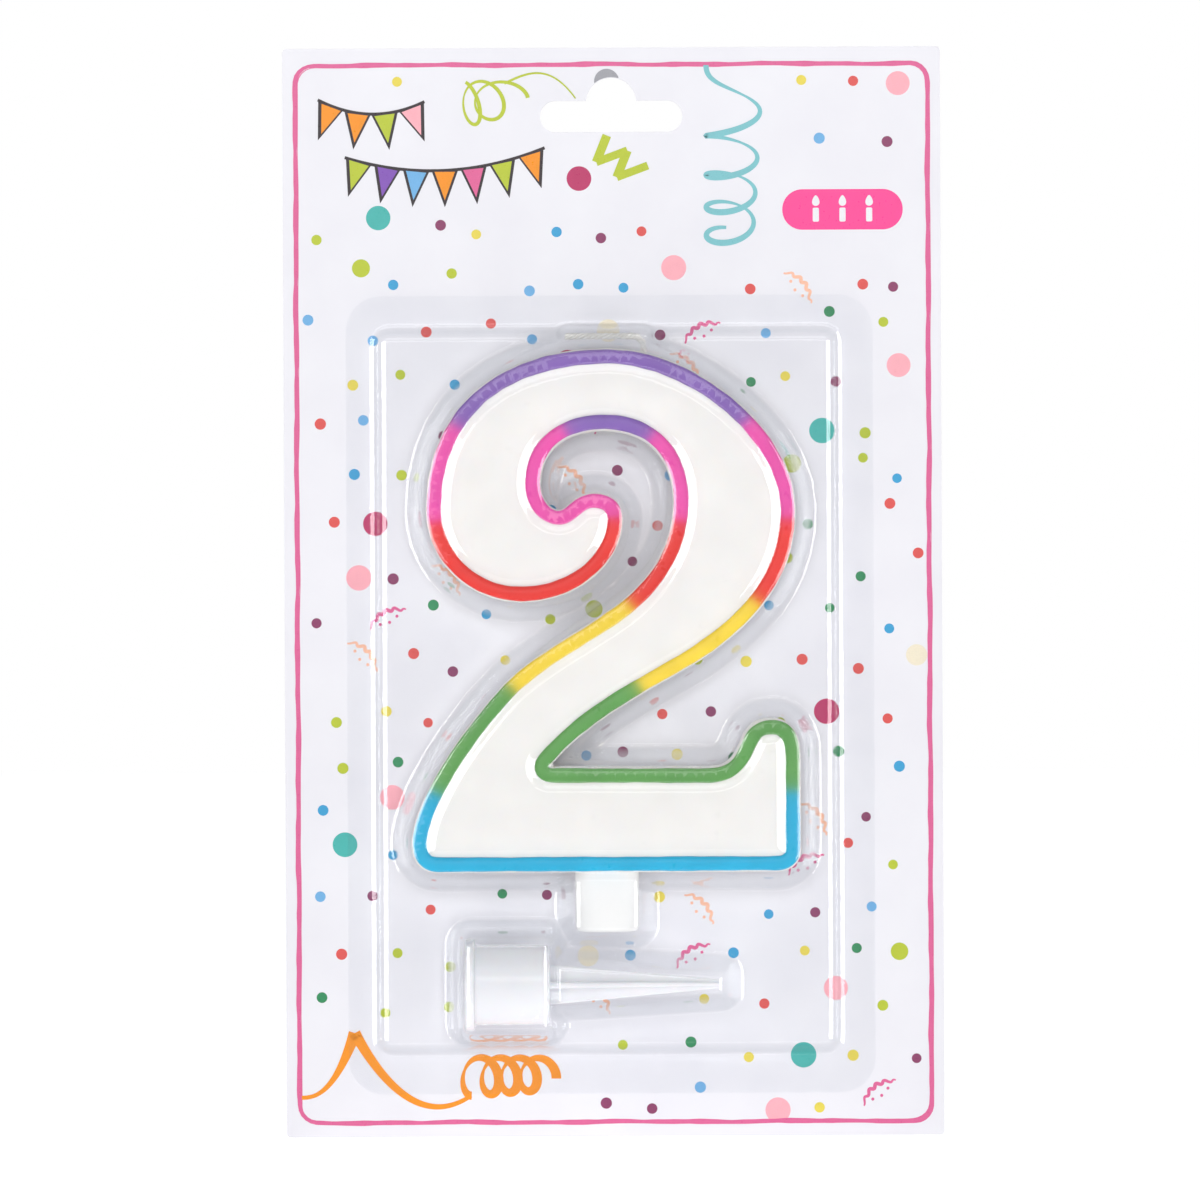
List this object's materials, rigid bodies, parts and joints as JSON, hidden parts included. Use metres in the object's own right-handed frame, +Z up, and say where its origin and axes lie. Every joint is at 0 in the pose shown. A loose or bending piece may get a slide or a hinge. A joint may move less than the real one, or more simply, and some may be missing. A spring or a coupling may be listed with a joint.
{
  "type": "number birthday candle",
  "caption": "Giant wax number two candle with a rainbow bead rim and wick, sealed with its spiked cake holder in a clear blister on a printed hanging card.",
  "frame": {"origin": "middle of the straight part of the hang slot, on the front face of the card", "axes": "+Z up along the card, -Y towards the shopper, +X to the shopper's right"},
  "size_m": [0.148, 0.0224, 0.245],
  "materials": {
    "card": "coated board, printed front",
    "clear_sheet": "clear thermoformed sheet",
    "wax_white": "satin candle wax",
    "wax_purple": "satin candle wax",
    "wax_pink": "satin candle wax",
    "wax_red": "satin candle wax",
    "wax_yellow": "satin candle wax",
    "wax_green": "satin candle wax",
    "wax_blue": "satin candle wax",
    "cotton": "waxed braid",
    "white_plastic": "glossy moulding"
  },
  "bodies": {
    "card": {"backing_card": "card"},
    "blister": {"blister": "clear_sheet"},
    "candle": {"wax_number": "wax_white", "wick": "cotton", "rim_purple_outer": "wax_purple", "rim_purple_inner": "wax_purple", "rim_pink_left": "wax_pink", "rim_pink_right": "wax_pink", "rim_pink_stem": "wax_pink", "rim_pink_curl": "wax_pink", "rim_red_right": "wax_red", "rim_red_stem": "wax_red", "rim_red_lobe": "wax_red", "rim_yellow_left": "wax_yellow", "rim_yellow_right": "wax_yellow", "rim_green_left": "wax_green", "rim_green_hook": "wax_green", "rim_blue_base": "wax_blue"},
    "holder": {"holder": "white_plastic"}
  },
  "joints": [
    {"name": "blister_peel", "type": "hinge", "parent": "card", "child": "blister", "pos_m": [-0.06, -0.0004, -0.13], "axis": [0, 0, -1], "range_deg": [0, 110]},
    {"name": "candle_out", "type": "slide", "parent": "blister", "child": "candle", "axis": [0, 1, 0], "range_m": [0, 0.026]},
    {"name": "holder_out", "type": "slide", "parent": "blister", "child": "holder", "axis": [0, 1, 0], "range_m": [0, 0.026]}
  ],
  "couplings": [
    {"joint": "candle_out", "follows": "blister_peel", "m_per_rad": 0.0135},
    {"joint": "holder_out", "follows": "blister_peel", "m_per_rad": 0.0135}
  ]
}
